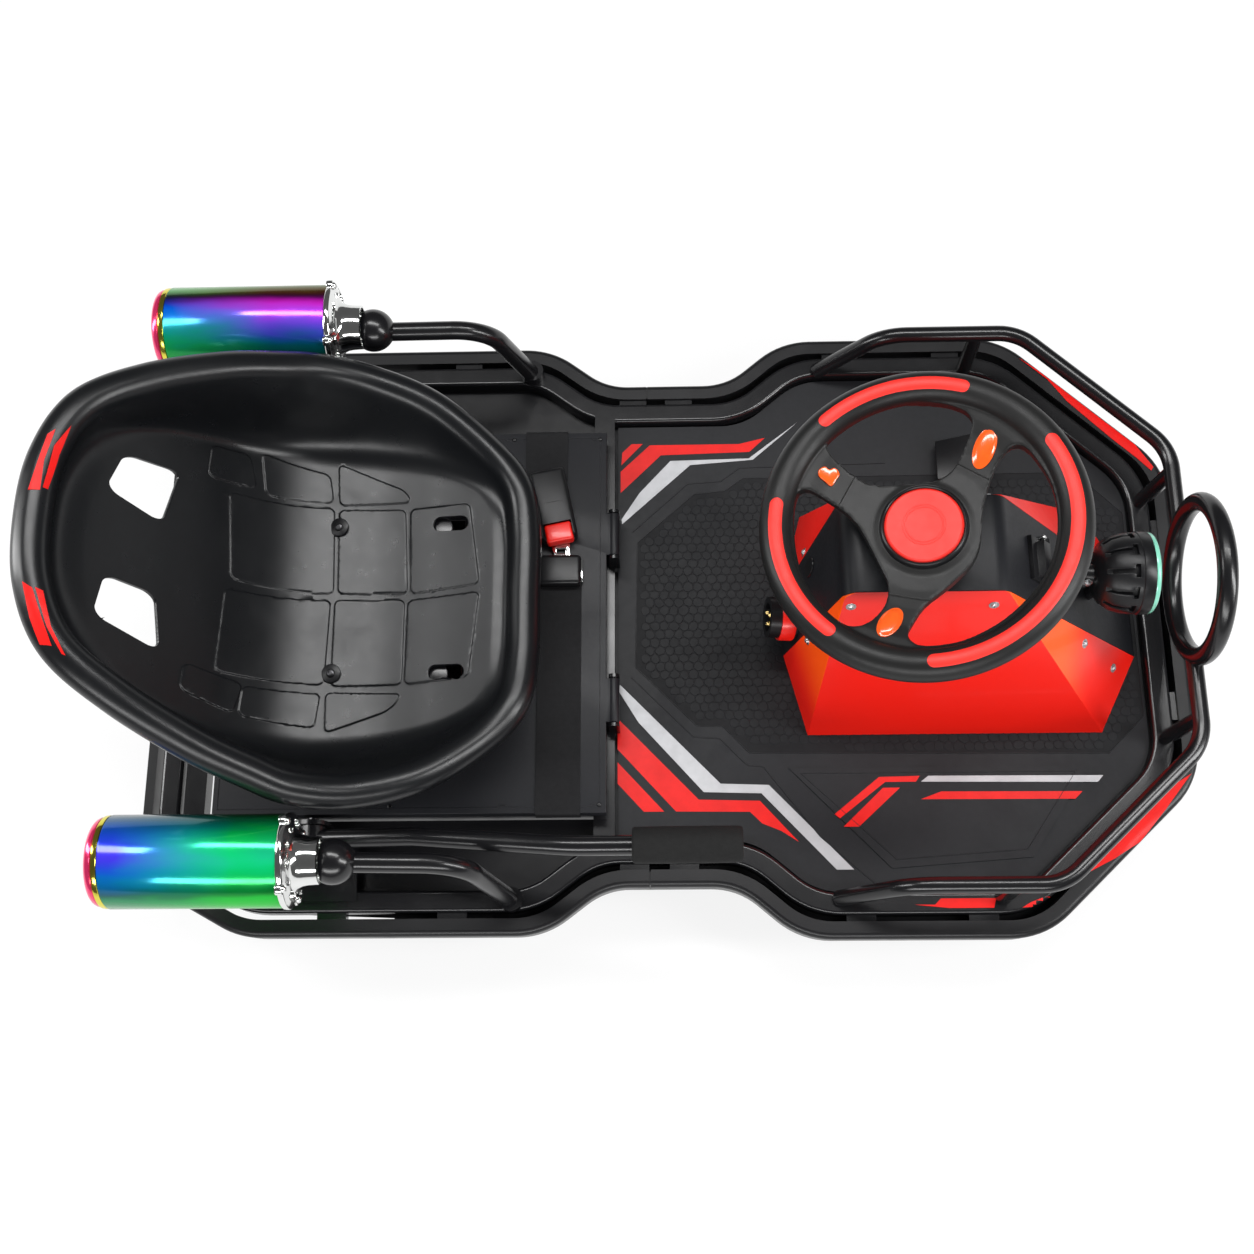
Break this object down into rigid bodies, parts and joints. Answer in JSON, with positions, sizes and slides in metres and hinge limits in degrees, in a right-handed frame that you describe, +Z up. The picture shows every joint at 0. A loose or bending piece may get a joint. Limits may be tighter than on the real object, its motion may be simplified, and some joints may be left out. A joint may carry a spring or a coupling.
{
  "type": "electric drift kart",
  "caption": "Low electric drift kart with a freely turning front drive wheel, rear casters, bucket seat, guard rail and bumpers.",
  "frame": {"origin": "on the ground under the middle of the kart", "axes": "+X forward, +Y to the driver's left, +Z up"},
  "size_m": [1.2839, 0.764, 0.5009],
  "materials": {
    "battery_case": "plain battery case",
    "black_plastic": "moulded plastic",
    "black_sheet": "fine textured black paint",
    "black_steel": "satin black powder coat",
    "bumper_rubber": "moulded rubber, satin",
    "caster_rubber": "moulded wheel",
    "foam_grip": "foam sleeve",
    "lamp_lens": "clear moulded lens",
    "mat_rubber": "embossed rubber sheet",
    "motor_alloy": "cast alloy",
    "rainbow_chrome": "rainbow coated chrome",
    "red_plastic": "moulded red plastic",
    "red_sheet": "satin red paint",
    "seat_plastic": "blown plastic, semi gloss",
    "tyre": "solid rubber tyre",
    "webbing": "woven belt webbing",
    "wheel_foam": "soft moulded skin",
    "zinc_steel": "zinc plated"
  },
  "bodies": {
    "chassis": {"main_frame": "black_steel", "floor_pan": "black_steel", "floor_mat": "mat_rubber", "front_bumper": "bumper_rubber", "rear_bumper_left": "bumper_rubber", "rear_bumper_right": "bumper_rubber", "guard_rail": "black_steel", "console_hood": "black_sheet", "console_fairing_left": "red_sheet", "console_fairing_right": "red_sheet", "headlamp_housing": "black_plastic", "headlamp_lens": "lamp_lens", "hood_latch": "black_plastic", "steering_bridge": "black_steel", "seat_box": "black_sheet", "battery_pack": "battery_case", "rear_bumper_middle": "bumper_rubber", "muffler_left": "rainbow_chrome", "muffler_right": "rainbow_chrome", "exhaust_pipe_left": "black_steel", "exhaust_pipe_right": "black_steel", "lever_bracket": "black_steel", "accelerator_pedal": "black_plastic", "charge_socket": "black_plastic"},
    "seat_and_lid": {"seat_lid": "black_sheet", "seat_riser": "black_steel", "seat_shell": "seat_plastic", "belt_buckle": "black_plastic", "buckle_button": "red_plastic", "belt_tongue": "black_plastic", "belt_strap_left": "webbing", "belt_strap_right": "webbing"},
    "steering": {"steering_wheel": "wheel_foam", "steering_hub_cap": "red_plastic", "steering_column": "black_steel"},
    "fork": {"front_fork": "black_steel"},
    "drive_wheel": {"front_tyre": "tyre", "front_hub": "motor_alloy"},
    "lever": {"drift_lever": "black_steel", "lever_grip": "foam_grip"},
    "caster_swivel_left": {"caster_fork_left": "zinc_steel"},
    "caster_swivel_right": {"caster_fork_right": "zinc_steel"},
    "caster_roller_left": {"caster_wheel_left": "caster_rubber"},
    "caster_roller_right": {"caster_wheel_right": "caster_rubber"}
  },
  "joints": [
    {"name": "steering_turn", "type": "hinge", "parent": "chassis", "child": "steering", "pos_m": [0.31, 0, 0.316], "axis": [-0.1736, 0, 0.9848], "continuous": true},
    {"name": "fork_turn", "type": "hinge", "parent": "chassis", "child": "fork", "pos_m": [0.31, 0, 0.1], "axis": [0, 0, 1], "continuous": true},
    {"name": "drive_wheel_roll", "type": "hinge", "parent": "fork", "child": "drive_wheel", "pos_m": [0.31, 0, 0.1], "axis": [0.4384, 0.8988, 0], "continuous": true},
    {"name": "caster_swivel_left_turn", "type": "hinge", "parent": "chassis", "child": "caster_swivel_left", "pos_m": [-0.4, 0.306, 0.08], "axis": [0, 0, 1], "continuous": true},
    {"name": "caster_swivel_right_turn", "type": "hinge", "parent": "chassis", "child": "caster_swivel_right", "pos_m": [-0.4, -0.306, 0.08], "axis": [0, 0, 1], "continuous": true},
    {"name": "caster_roll_left", "type": "hinge", "parent": "caster_swivel_left", "child": "caster_roller_left", "pos_m": [-0.424, 0.306, 0.033], "axis": [0, 1, 0], "continuous": true},
    {"name": "caster_roll_right", "type": "hinge", "parent": "caster_swivel_right", "child": "caster_roller_right", "pos_m": [-0.424, -0.306, 0.033], "axis": [0, 1, 0], "continuous": true},
    {"name": "drift_lever_pull", "type": "hinge", "parent": "chassis", "child": "lever", "pos_m": [-0.384, -0.272, 0.168], "axis": [0, -1, 0], "range_deg": [0, 35]},
    {"name": "seat_lid_open", "type": "hinge", "parent": "chassis", "child": "seat_and_lid", "pos_m": [-0.04, 0, 0.145], "axis": [0, 1, 0], "range_deg": [0, 50]}
  ],
  "couplings": [
    {"joint": "fork_turn", "follows": "steering_turn", "ratio": 1}
  ]
}
